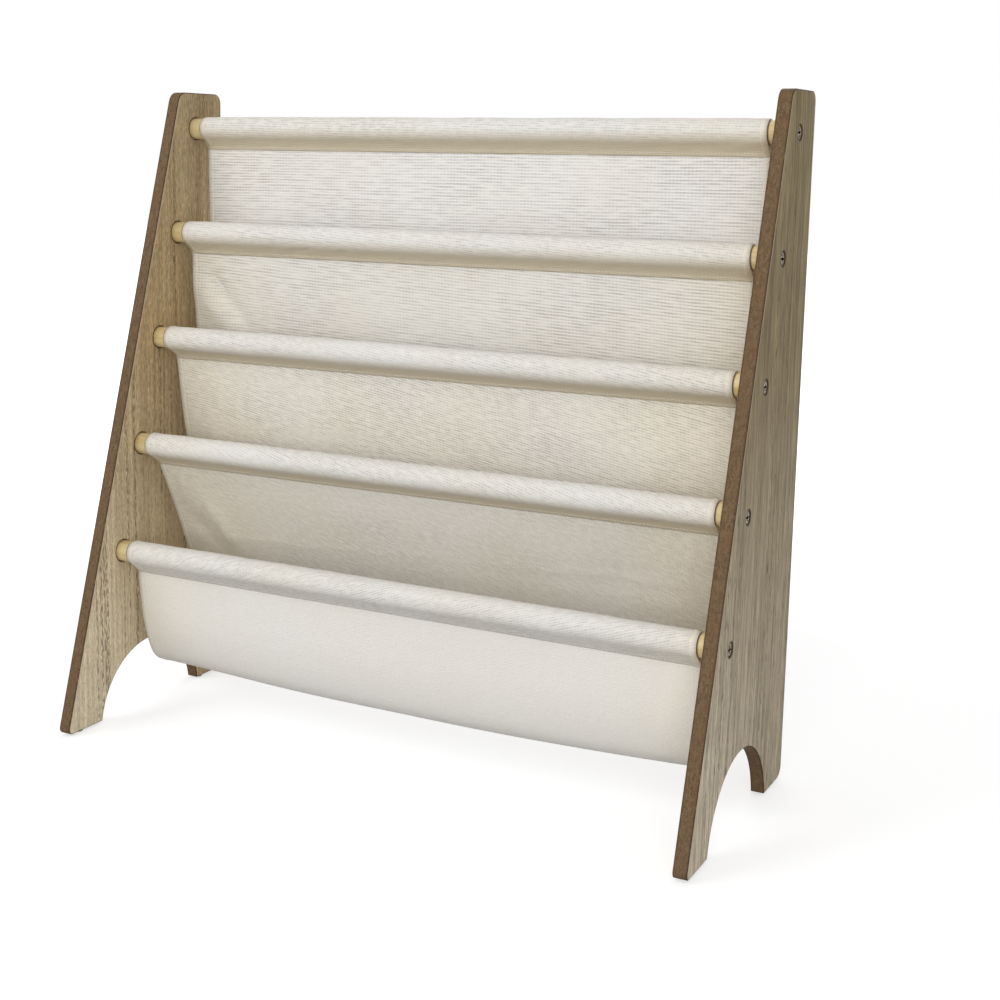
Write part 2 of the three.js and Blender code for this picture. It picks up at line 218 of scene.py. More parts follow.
DOUBLED_AND_SHADE_COLOUR = (0.600, 0.510, 0.345)
THREAD_COLOURS = ((0.70, 0.66, 0.57), (0.82, 0.79, 0.72))
THREAD_NOISE = ((900.0, 900.0, 900.0), 2.0, 0.5)
THREAD_FINISH = {"Roughness": 0.8}

# Panels
PANEL_TOP_DEPTH = 0.067
BEND_NOISE = ((0.0, 4.0, 5.0), 2.0, 0.5)
GRAIN_NOISE = {
    "broad": ((0.0, 42.0, 1.2), 3.0, 0.6),
    "band": ((0.0, 112.0, 1.7), 1.0, 0.5),
    "streak": ((0.0, 270.0, 3.4), 3.0, 0.6),
    "hair": ((0.0, 640.0, 9.0), 3.0, 0.6),
    "speckle": ((0.0, 900.0, 260.0), 2.0, 0.6),
    "fleck": ((0.0, 225.0, 30.0), 2.0, 0.6),
    "pore_rows": ((0.0, 120.0, 1.3), 1.0, 0.5),
    "pore_dashes": ((0.0, 820.0, 88.0), 1.0, 0.5),
    "lone_pores": ((0.0, 480.0, 42.0), 1.0, 0.5),
    "short": ((0.0, 600.0, 130.0), 2.0, 0.6),
    "dashes": ((0.0, 640.0, 150.0), 1.0, 0.5),
    "dash_rows": ((0.0, 150.0, 2.0), 1.0, 0.5),
}
EDGE_NOISE = {
    "mottle": ((520.0, 520.0, 130.0), 4.0, 0.7),
    "blush": ((150.0, 150.0, 45.0), 2.0, 0.5),
    "specks": ((800.0, 800.0, 800.0), 2.0, 0.7),
    "wear": ((300.0, 300.0, 90.0), 2.0, 0.5),
}
# How each kind of streak shades the faces: between which values of its noise, and from how dark to how light
# it makes the inner faces and the outer ones.
STREAKS = {
    "band": {"range": (0.34, 0.66), "inner": (0.95, 1.05), "outer": (0.86, 1.12)},
    "fleck": {"range": (0.34, 0.66), "inner": (0.92, 1.07), "outer": (0.79, 1.17)},
    "streak": {"range": (0.32, 0.68), "inner": (0.86, 1.08), "outer": (0.80, 1.14)},
    "hair": {"range": (0.34, 0.66), "inner": (0.84, 1.09), "outer": (0.70, 1.22)},
    "speckle": {"range": (0.30, 0.70), "inner": (0.82, 1.12), "outer": (0.88, 1.10)},
}
FACE_LIMIT = 0.95  # how squarely a surface must look sideways to count as a face, not an edge
FACE_NUMBERS = 90.0  # per metre across, so that the four faces get different numbers
GRAIN_SHIFTS = (0.37, 0.83)  # in Y and Z, from the grain of one face to that of the next
GRAIN_BEND = 0.012  # how far the grain bends aside
BROAD_RANGE = (0.32, 0.68)
TAN_COLOURS = ((0.475, 0.336, 0.177), (0.600, 0.460, 0.270))
# Painted shade: the outer faces are the same veneer, coloured darker and greyer than the inner tan
SHADED_TAUPE_COLOURS = ((0.244, 0.182, 0.095), (0.326, 0.259, 0.148))
BROWNER_COLOUR = (0.530, 0.355, 0.166)
BROWNER_DEPTHS = (-0.03, 0.09, 0.0, 0.75)  # where the inner faces get browner, towards the back
BROWNER_HEIGHTS = (0.52, 0.34)  # and further down
TOP_HEIGHTS = (0.42, 0.58)  # where the faces take on the tones of their tops
INNER_TOP_TONE = 0.84
OUTER_TOP_TONE = 1.04
# Painted light, partly a paler tone of the skin: the faces grow paler towards the feet and the front
FOOT_LIGHT_HEIGHTS = (0.39, 0.09)  # where they get paler towards the feet
FOOT_LIGHT_DEPTHS = (0.08, -0.08)  # and from back to front
INNER_BACK_LIGHT_SHARE = 0.18  # how much of that the back gets
OUTER_BACK_LIGHT_SHARE = 0.60
INNER_FOOT_LIGHT_COLOUR = (0.775, 0.662, 0.474)
OUTER_FOOT_LIGHT_COLOUR = (0.640, 0.552, 0.415)
PORE_ROW_RANGE = (0.54, 0.66)
PORE_DASH_RANGE = (0.52, 0.62)
LONE_PORE_RANGE = (0.70, 0.78, 0.0, 0.8)
PORE_SHARE = 0.66
PORE_COLOUR = (0.070, 0.044, 0.022)
DASH_ROW_RANGE = (0.605, 0.645)
ROW_DASH_RANGE = (0.43, 0.56)
LONE_DASH_RANGE = (0.67, 0.74, 0.0, 0.75)
DASH_SHARE = 0.62
DASH_COLOUR = (0.095, 0.060, 0.030)
SHORT_RANGE = (0.36, 0.64)
SHORT_LOW_RANGE = (0.30, 0.14, 0.74, 0.90)  # the dark tone of the short streaks, over the height
SHORT_HIGH_TONE = 1.16
FRONT_LINE_RANGE = (0.0018, 0.0036, 0.62, 0.0)  # behind the front edge
FRONT_LINE_COLOUR = (0.600, 0.500, 0.370)
# Painted shadow: a dark ring round each rod's socket and each screw's countersink
HOLE_SHADOW_RANGE = (0.0009, 0.0021, 0.88, 0.0)  # outside a rod or a screw's head
HOLE_SHADOW_COLOUR = (0.045, 0.030, 0.018)
FAR_AWAY = 1.0  # further than any rod
MOTTLE_RANGE = (0.32, 0.70)
EDGE_COLOURS = ((0.102, 0.064, 0.034), (0.193, 0.126, 0.071))
BLUSH_RANGE = (0.52, 0.70, 0.0, 0.55)
BLUSH_COLOUR = (0.165, 0.088, 0.043)
SPECK_RANGE = (0.30, 0.70, 0.76, 1.22)
CORNER_INSETS = (0.0019, 0.0004)  # from a face, where an edge darkens towards its corner
CORNER_SHARE = 0.72
CORNER_COLOUR = (0.055, 0.034, 0.018)
WEAR_RANGE = (0.62, 0.70)
WEAR_PLACES = (0.0050, 0.0056)  # from the middle of the board
WEAR_SHARE = 0.5
WEAR_COLOUR = (0.30, 0.22, 0.14)
PANEL_ROUGHNESS_RANGE = (0.3, 0.7, 0.55, 0.68)
HAIR_RELIEF = 0.6
MOTTLE_RELIEF = 1.5
PANEL_BUMP = {"Strength": 0.35, "Distance": 0.00015}
PANEL_FINISH = {"Specular IOR Level": 0.06}

# Rods
ROD_COUNT = 5
ROD_NOISE = {
    "grain": ((9.0, 420.0, 420.0), 4.0, 0.65),
    "broad": ((3.0, 110.0, 110.0), 2.0, 0.5),
    "fleck": ((160.0, 900.0, 900.0), 1.0, 0.5),
    "stain": ((55.0, 150.0, 150.0), 2.0, 0.5),
}
PINE_RANGE = (0.35, 0.65)
PINE_COLOURS = ((0.640, 0.500, 0.245), (0.740, 0.615, 0.350))
PINE_GRAIN_RANGE = (0.50, 0.72, 0.0, 0.50)
PINE_GRAIN_COLOUR = (0.46, 0.31, 0.12)
PINE_STAIN_RANGE = (0.52, 0.68, 0.0, 0.55)
PINE_STAIN_COLOUR = (0.530, 0.345, 0.110)
PINE_FLECK_RANGE = (0.62, 0.72, 1.0, 0.85)
# Dirt and painted shade on the rod near its panel
ROD_END_DIRT_AND_SHADE_RANGE = (0.0080, 0.0130, 0.0, 0.50)  # past its sleeve's end, where a rod darkens towards its panel
ROD_END_DIRT_AND_SHADE_COLOUR = (0.400, 0.250, 0.080)
# Painted shadow on the rod at the sleeve's end
SLEEVE_SHADOW_RANGE = (0.0008, 0.0020, 0.93, 0.0)  # past its sleeve's end too
SLEEVE_SHADOW_COLOUR = (0.040, 0.026, 0.014)
ROD_BUMP = {"Strength": 0.3, "Distance": 0.0001}
ROD_FINISH = {"Roughness": 0.45}

# Screws and glides
# Painted shade: the screw's recess turns black
RECESS_SHADE_DEPTHS = (0.0004, 0.0001)  # below the screw's face, where it turns black
SCREW_NOISE = ((420.0, 420.0, 420.0), 3.0, 0.5)
SCREW_STAIN_RANGE = (0.42, 0.60)
SCREW_COLOURS = ((0.050, 0.040, 0.028), (0.430, 0.370, 0.255))
# Painted shadow of the countersink on the head's rim
RIM_SHADE_SHARES = (0.72, 0.95)  # of the head's radius, where its rim turns dark
RIM_SHADE_MIX_SHARE = 0.88
RIM_SHADE_COLOUR = (0.020, 0.015, 0.010)
RECESS_SHADE_MIX_SHARE = 0.92
RECESS_SHADE_COLOUR = (0.012, 0.010, 0.008)
SCREW_ROUGHNESS_RANGE = (0.3, 0.7, 0.28, 0.50)
SCREW_FINISH = {"Metallic": 1.0}
GLIDE_NOISE = ((600.0, 600.0, 600.0), 4.0, 0.5)
GLIDE_COLOURS = ((0.20, 0.18, 0.155), (0.36, 0.335, 0.30))
GLIDE_FINISH = {"Roughness": 0.45}

# Smooth shading of the faceted CAD pieces
SMOOTH_ANGLE = math.radians(50)
WELD_DISTANCE = 0.000002
NORMAL_WEIGHT = 80

# Camera, fitted to the photograph
IMAGE_SIZE = 1000.0
CAMERA_PLACE = (0.6745, -1.2181, 0.5472)
CAMERA_YAW = -0.4957
CAMERA_PITCH = -0.1664
CAMERA_ROLL = 0.0140
CAMERA_FOCAL = 1592.3  # in pixels
CAMERA_SHIFT = (0.07, -0.08)
SENSOR_WIDTH = 36.0
CLIP_START = 0.05
CLIP_END = 50.0

# Floor and light
FLOOR_HALF_SIZE = 8.0
FLOOR_TONE = 0.50
FLOOR_GLOW = 0.60  # what the camera sees beside the floor's own light
FLOOR_FADE = (0.6, 1.3)  # from the middle, where that glow rises to plain white
SKY_STRENGTH = 0.58
LAMP_TARGET = (0.0, 0.0, 0.3)
LAMPS = {
    "front": {"place": (1.2, -2.9, 1.2), "size": 2.0, "power": 47.0},
    "key": {"place": (-1.7, -2.0, 2.2), "size": 1.4, "power": 30.0},
    "back": {"place": (-0.8, 3.0, 1.8), "size": 2.0, "power": 30.0},
}


def axis_of(rod):
    """Where a rod's axis lies in (Y, Z)."""
    low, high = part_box(rod)
    return (low.y + high.y) / 2, (low.z + high.z) / 2


panel_low, panel_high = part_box("side_panel_right")
PANEL_MIDDLE = (panel_low.x + panel_high.x) / 2
PANEL_HALF_THICKNESS = (panel_high.x - panel_low.x) / 2
PANEL_TOP = panel_high.z
PANEL_FOOT = panel_low.z
PANEL_BASE_FRONT = -panel_high.y  # but for its rounded corner
PANEL_TOP_FRONT = panel_high.y - PANEL_TOP_DEPTH
screw_low, screw_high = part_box("screw_right_1")
SCREW_FACE = screw_high.x
SCREW_HEAD_RADIUS = (screw_high.z - screw_low.z) / 2
rod_low, rod_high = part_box("rod_1")
ROD_RADIUS = (rod_high.z - rod_low.z) / 2
rods = [axis_of(f"rod_{number}") for number in range(1, ROD_COUNT + 1)]


# Cloth: its path in (Y, Z)

def curve(start, corner, end, shares):
    """Points of the bend between two ends that heads for the corner from both."""
    return (1 - shares) ** 2 * start + 2 * shares * (1 - shares) * corner + shares ** 2 * end


def smooth_line(corners):
    """Points of a line that follows the corners smoothly, each bend between the middles of its two edges."""
    corners = np.array(corners)
    middles = (corners[1:] + corners[:-1]) / 2
    points = [corners[0], middles[0]]
    for place in range(1, len(corners) - 1):
        for step in range(1, BEND_STEPS + 1):
            points.append(curve(middles[place - 1], corners[place], middles[place], step / BEND_STEPS))
    points.append(corners[-1])
    return np.array(points)


def lengths_along(line):
    """How far along a line each of its points lies."""
    steps = np.linalg.norm(np.diff(line, axis=0), axis=1)
    return np.concatenate([[0.0], np.cumsum(steps)])


def at_length(line, lengths, wanted):
    """The values of a line at the wanted lengths along it."""
    return np.array([np.interp(wanted, lengths, part) for part in line.T]).T


def seam_of(row):
    """Where the seam of a rod's sleeve lies in (Y, Z)."""
    axis_y, axis_z = rods[row]
    return np.array([axis_y + SEAM_SETBACKS[row], axis_z - SEAM_DROP])


def sheet_path(row, sag):
    """The cloth's middle from the upper seam down, round the bottom and up to the lower seam."""
    upper_y, upper_z = rods[row]
    lower_y = rods[row + 1][0]
    lowest = upper_z - SLING_DEPTH - sag
    upper_seam = seam_of(row)
    lower_seam = seam_of(row + 1)
    overlap_end = lower_seam - np.array([0.0, SEWN_OVERLAP])
    if row < LAST_ROW:
        lower_seam[0] += CAD_PLY + SEWN_GAP
        overlap_end[0] = lower_seam[0] + BACK_LEANS[row + 1] * SEWN_OVERLAP / VISIBLE_DROP
    corners = [
        upper_seam,
        (upper_seam[0] + BACK_LEANS[row], upper_seam[1] - VISIBLE_DROP),
        (upper_y + BELLY_BACKS[row], lowest + BELLY_BACK_HEIGHTS[row]),
        (upper_y + TURN_BACKS[row], lowest),
        (lower_y + TURN_FRONTS[row], lowest),
        (lower_y + BELLY_FRONTS[row], lowest + BELLY_FRONT_HEIGHTS[row]),
        overlap_end,
    ]
    line = np.vstack([smooth_line(corners), lower_seam])
    lengths = lengths_along(line)
    return at_length(line, lengths, np.linspace(0.0, lengths[-1], SHEET_STEPS + 1))


def sleeve_path(row):
    """The cloth round a rod, from the end of its front ply at the seam, over the top, to the seam behind."""
    axis = np.array(rods[row])
    seam = seam_of(row)
    radius = ROD_RADIUS + SLEEVE_SLACK + PLY / 2
    towards = seam - axis
    opening = math.acos(radius / np.hypot(*towards))
    middle = math.atan2(towards[1], towards[0])
    first = middle - opening + 2 * math.pi + math.radians(SLEEVE_WRAPS[row])
    angles = np.linspace(first, middle + opening, SLEEVE_STEPS)
    arc = axis + radius * np.column_stack([np.cos(angles), np.sin(angles)])
    # Below the rod the front ply curves down to the seam.
    front_end = seam - np.array([FRONT_PLY_LEAD, PLY])
    turned = np.array([front_end[0], arc[0, 1] - (front_end[0] - arc[0, 0]) / math.tan(first)])
    straight = (front_end + arc[0]) / 2
    corner = SLEEVE_HOLLOWS[row] * turned + (1 - SLEEVE_HOLLOWS[row]) * straight
    shares = np.linspace(0.0, 1.0, BEND_STEPS + 1)[:-1, None]
    return np.vstack([curve(front_end, corner, arc[0], shares), arc])


def bell(distance, reach):
    """1 at no distance, falling away over the reach."""
    return math.exp(-((distance / reach) ** 2))


def fold_height(row, across, drop, length):
    """How far folds, waves and puckers push the cloth out, at a place across it and a drop below its seam."""
    height = 0.0
    for start, drift, width, rise, full, fade in FOLDS[row]:
        aside = across - start - drift * drop
        height += rise * bell(aside, width) * bell(drop - full, fade)
    down_share = min(max(drop / length, 0.0), 1.0)
    calm = math.sin(math.pi * down_share) ** WAVE_POWER
    place = Vector((across / WAVE_WIDTH, drop / WAVE_LENGTH, WAVE_ROW * row + WAVE_START))
    height += WAVE_HEIGHT * calm * noise.noise(place)
    from_seam = min(drop, length - drop)
    pucker = noise.noise(Vector((across / PUCKER_WIDTH, PUCKER_ROW * row, drop / length)))
    near_seam = math.exp(-from_seam / PUCKER_REACH) * (1 - math.exp(-from_seam / PUCKER_RISE))
    height += PUCKER_HEIGHT * pucker * near_seam
    if row == LAST_ROW:
        height -= CREASE_DEPTH * bell(drop - CREASE_DROP - CREASE_SLOPE * across, CREASE_WIDTH)
    return height


def sleeve_height(row, across, along, length):
    """How far a sleeve's cloth stands off its rod, or is drawn into wrinkles between the rod and the seam."""
    puff = noise.noise(Vector((across / PUFF_WIDTH, along / PUFF_LENGTH, PUFF_START + PUFF_ROW * row)))
    height = PUFF_HEIGHT * max(puff + PUFF_LEVEL, 0.0)
    height += SLEEVE_FLARE * bell(CLOTH_HALF_WIDTH - abs(across), FLARE_REACH)
    loose = bell(min(along, length - along) - DRAG_MIDDLE, DRAG_REACH)
    drag_across = (across - DRAG_SLANT * along) / DRAG_WIDTH
    drag = noise.noise(Vector((drag_across, along / DRAG_LENGTH, DRAG_ROW * row)))
    return height * (1 - loose) + DRAG_HEIGHT * drag * loose


def sling_grid(row):
    """Points of the cloth across and along it, its lengths along, and where its sheet starts and ends."""
    grid = []
    along_grid = []
    for share in np.linspace(-1.0, 1.0, ACROSS_STEPS + 1):
        across = share * CLOTH_HALF_WIDTH
        sleeve = sleeve_path(row)
        sheet = sheet_path(row, SLING_SAG * (1 - share * share))
        parts = [sleeve, sheet]
        if row == LAST_ROW:
            parts.append(sleeve_path(row + 1)[::-1])
        line = np.vstack(parts)
        along = lengths_along(line)
        tangent = np.gradient(line, axis=0)
        tangent /= np.maximum(np.hypot(*tangent.T), TINY)[:, None]
        normal = np.column_stack([-tangent[:, 1], tangent[:, 0]])
        start = len(sleeve)
        end = start + len(sheet)
        length = along[end - 1] - along[start]
        for place in range(start, end):
            line[place] += normal[place] * fold_height(row, across, along[place] - along[start], length)
        for place in range(1, start - 1):
            line[place] -= normal[place] * sleeve_height(row, across, along[place], along[start - 1])
        for place in range(end + 1, len(line) - 1):
            back = along[-1] - along[place]
            line[place] += normal[place] * sleeve_height(row + 1, across, back, along[-1] - along[end])
        grid.append(np.column_stack([np.full(len(line), across), line]))
        along_grid.append(along)
    return np.array(grid), np.array(along_grid), start, end


def mesh_object(name, points, faces):
    mesh = bpy.data.meshes.new(name)
    mesh.from_pydata([tuple(point) for point in points], [], faces)
    mesh.update()
    made = bpy.data.objects.new(name, mesh)
    bpy.context.scene.collection.objects.link(made)
    return made


def sling(row, materials):
    """One sling's cloth, with the materials of its sheet, its sleeve and, at the lowest, its other sleeve."""
    grid, along, sheet_start, sheet_end = sling_grid(row)
    across_count, along_count = grid.shape[:2]
    faces = []
    slots = []
    for i in range(across_count - 1):
        for j in range(along_count - 1):
            here = i * along_count + j
            aside = here + along_count
            faces.append((here, here + 1, aside + 1, aside))
            if j < sheet_start - 1:
                slots.append(1)
            elif j < sheet_end - 1:
                slots.append(0)
            else:
                slots.append(2)
    made = mesh_object(f"canvas_{row + 1}", grid.reshape(-1, 3), faces)
    mesh = made.data
    for material in materials:
        mesh.materials.append(material)
    mesh.polygons.foreach_set("material_index", slots)
    mesh.polygons.foreach_set("use_smooth", [True] * len(faces))
    layer = mesh.uv_layers.new(name="cloth")
    flat = np.column_stack([grid[:, :, 0].ravel(), along.ravel() + ROW_SPACING * row])
    corners = np.array([loop.vertex_index for loop in mesh.loops])
    layer.data.foreach_set("uv", flat[corners].astype(np.float32).ravel())
    hem = made.vertex_groups.new(name="ply")
    for i in range(across_count):
        inset = CLOTH_HALF_WIDTH - abs(grid[i, 0, 0])
        weight = 1.0 if inset < HEM_WIDTH else PLY / HEM_PLY
        first = i * along_count
        hem.add(list(range(first, first + along_count)), weight, "REPLACE")
    solid = made.modifiers.new("ply", "SOLIDIFY")
    solid.thickness = HEM_PLY
    solid.offset = 0.0
    solid.vertex_group = hem.name
    solid.use_even_offset = False
    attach(made, "root")
    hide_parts(f"sling_{row + 1}")
    return made, grid


# Shader helpers

def new_material(name):
    material = bpy.data.materials.new(name)
    material.use_nodes = True
    tree = material.node_tree
    return material, tree, tree.nodes["Principled BSDF"]


def finish(tree, shader, base, values):
    """Sets the shader's colour, and those of its values that are the same all over."""
    tree.links.new(base, shader.inputs["Base Color"])
    for name, value in values.items():
        shader.inputs[name].default_value = value


def node(tree, kind, settings=None, **inputs):
    """A shader node with its settings and its inputs, each a value or another node's output."""
    made = tree.nodes.new(kind)
    for name, value in (settings or {}).items():
        setattr(made, name, value)
    for name, value in inputs.items():
        socket = made.inputs[int(name[2:]) if name.startswith("in") and name[2:].isdigit() else name]
        if isinstance(value, bpy.types.NodeSocket):
            tree.links.new(value, socket)
        else:
            socket.default_value = value
    return made


def maths(tree, operation, first, second=0.0):
    return node(tree, "ShaderNodeMath", {"operation": operation}, in0=first, in1=second).outputs[0]


def times(tree, first, *others):
    for other in others:
        first = maths(tree, "MULTIPLY", first, other)
    return first


def plus(tree, first, *others):
    for other in others:
        first = maths(tree, "ADD", first, other)
    return first


def minus(tree, first, second):
    return maths(tree, "SUBTRACT", first, second)


def size_of(tree, value):
    return maths(tree, "ABSOLUTE", value)


def vector(tree, x, y, z):
    return node(tree, "ShaderNodeCombineXYZ", None, in0=x, in1=y, in2=z).outputs[0]


def parts_of(tree, place):
    return node(tree, "ShaderNodeSeparateXYZ", None, in0=place).outputs


def distance(tree, offset):
    """The length of a vector."""
    return node(tree, "ShaderNodeVectorMath", {"operation": "LENGTH"}, in0=offset).outputs["Value"]


def shifted(tree, place, offset):
    return node(tree, "ShaderNodeVectorMath", {"operation": "ADD"}, in0=place, in1=offset).outputs[0]


def object_place(tree):
    return node(tree, "ShaderNodeTexCoord").outputs["Object"]


def pattern(tree, place, scales, octaves, roughness):
    """Noise from 0 to 1."""
    scaled = node(tree, "ShaderNodeMapping", None, Vector=place, Scale=scales).outputs[0]
    made = node(tree, "ShaderNodeTexNoise", None, Vector=scaled, Scale=1.0, Detail=octaves,
                Roughness=roughness)
    return made.outputs["Fac"]


def patterns(tree, place, looks):
    """A pattern for each kind of noise in a table."""
    return {kind: pattern(tree, place, *look) for kind, look in looks.items()}


def wave(tree, place, pitch):
    return maths(tree, "SINE", times(tree, place, 2 * math.pi / pitch))


def spread(tree, value, low, high, new_low=0.0, new_high=1.0):
    """The value from low to high turned into one from new_low to new_high, and held there beyond them."""
    made = node(tree, "ShaderNodeMapRange", {"clamp": True}, in0=value, in1=low, in2=high, in3=new_low,
                in4=new_high)
    return made.outputs[0]


def colour(red, green, blue):
    return (red, green, blue, 1.0)


def socket_value(value):
    """A colour of three numbers made ready for a socket; another node's output stays as it is."""
    return colour(*value) if isinstance(value, tuple) else value


def mixed(tree, share, first, second, blend="MIX"):
    made = node(tree, "ShaderNodeMix", {"data_type": "RGBA", "blend_type": blend}, in0=share,
                in6=socket_value(first), in7=socket_value(second))
    return made.outputs[2]


def toned(tree, base, *tones):
    """A colour made lighter or darker by each tone in turn, 1 leaving it as it is."""
    for tone in tones:
        grey = node(tree, "ShaderNodeCombineColor", None, in0=tone, in1=tone, in2=tone).outputs[0]
        base = mixed(tree, 1.0, base, grey, "MULTIPLY")
    return base


def add_bump(tree, shader, height, settings):
    bump = node(tree, "ShaderNodeBump", None, Height=height, **settings)
    tree.links.new(bump.outputs[0], shader.inputs["Normal"])


# Materials

def canvas_material(name, pitch, lean, yellow, end_yellow, light, ribs, breaks, left, calm=None):
    """Cream canvas: threads, broken ribs of thicker yarn that lean across it, hems and slightly uneven tone.

    Its ribs fade out where calm says, as the lengths along it where they start and end to fade."""
    material, tree, shader = new_material(name)
    flat = node(tree, "ShaderNodeUVMap", {"uv_map": "cloth"}).outputs[0]
    across, along = parts_of(tree, flat)[:2]
    noises = patterns(tree, flat, CANVAS_NOISE)
    weave = times(tree, wave(tree, across, THREAD_PITCH), wave(tree, along, THREAD_PITCH))
    crossing = spread(tree, weave, *CROSSING_RANGE)
    rib_place = plus(tree, along, times(tree, across, lean), times(tree, noises["wander"], RIB_WANDER))
    rib = spread(tree, wave(tree, rib_place, pitch), *RIB_RANGE)
    slub = pattern(tree, vector(tree, across, rib_place, 0.0), (breaks, SLUB_SCALE, 1.0), *SLUB_NOISE)
    slub = spread(tree, slub, *SLUB_RANGE, left, 1.0)
    column = spread(tree, wave(tree, across, COLUMN_PITCH), *COLUMN_RANGE)
    fine = spread(tree, noises["fine"], *FINE_RANGE)
    patch = spread(tree, noises["patch"], *PATCH_RANGE)
    crossed = plus(tree, times(tree, crossing, GROOVE_CROSSING_SHARE), GROOVE_BETWEEN_SHARE)
    groove = times(tree, slub, column, patch, times(tree, rib, RIB_STRENGTH), crossed)
    to_end = size_of(tree, across)
    at_ends = spread(tree, to_end, *END_RANGE, 0.0, end_yellow)
    warmth = plus(tree, at_ends, spread(tree, noises["tone"], *UNEVEN_YELLOW_RANGE), yellow)
    if calm:
        groove = times(tree, groove, spread(tree, along, *calm, 1.0, CALM_RIB_SHARE))
        warmth = times(tree, warmth, spread(tree, along, *calm, 1.0, CALM_YELLOW_SHARE))
    cream, warm_cream = (tuple(light * part for part in shade) for shade in (CREAM, WARM_CREAM))
    base = mixed(tree, warmth, cream, warm_cream)
    groove_colour = mixed(tree, warmth, GROOVE_COLOUR, WARM_GROOVE_COLOUR)
    base = mixed(tree, times(tree, groove, ribs), base, groove_colour)
    base = toned(tree, base, spread(tree, crossing, *CROSSING_TONE_RANGE))
    base = mixed(tree, times(tree, fine, FINE_SHARE), base, FINE_COLOUR)
    hem_start = CLOTH_HALF_WIDTH - HEM_WIDTH
    in_hem = spread(tree, to_end, hem_start - HEM_BLUR, hem_start + HEM_BLUR)
    base = mixed(tree, times(tree, in_hem, HEM_SHARE), base, HEM_COLOUR)
    past_line = size_of(tree, minus(tree, to_end, hem_start))
    base = mixed(tree, spread(tree, past_line, *HEM_LINE_RANGE), base, HEM_LINE_COLOUR)
    if name.startswith("canvas_sleeve"):
        # Near the seam the cloth is double, and under the rod it carries painted shade: both turn it darker
        # and yellower.
        from_end = maths(tree, "MODULO", along, ROW_SPACING)
        doubled_and_shade = times(tree, spread(tree, from_end, *DOUBLED_AND_SHADE_RANGE), DOUBLED_AND_SHADE_SHARE)
        base = mixed(tree, doubled_and_shade, base, DOUBLED_AND_SHADE_COLOUR)
    height = plus(tree, times(tree, weave, WEAVE_RELIEF), times(tree, groove, GROOVE_RELIEF),
                  times(tree, fine, FINE_RELIEF), times(tree, rib, RIB_RELIEF))
    add_bump(tree, shader, height, CANVAS_BUMP)
    finish(tree, shader, base, CANVAS_FINISH)
    return material


def thread_material():
    material, tree, shader = new_material("thread")
    base = mixed(tree, pattern(tree, object_place(tree), *THREAD_NOISE), *THREAD_COLOURS)
    finish(tree, shader, base, THREAD_FINISH)
    return material


def from_rods(tree, depth, height):
    """The distance to the axis of the nearest rod."""
    nearest = FAR_AWAY
    for axis_y, axis_z in rods:
        to_axis = vector(tree, 0.0, minus(tree, depth, axis_y), minus(tree, height, axis_z))
        nearest = maths(tree, "MINIMUM", nearest, distance(tree, to_axis))
    return nearest


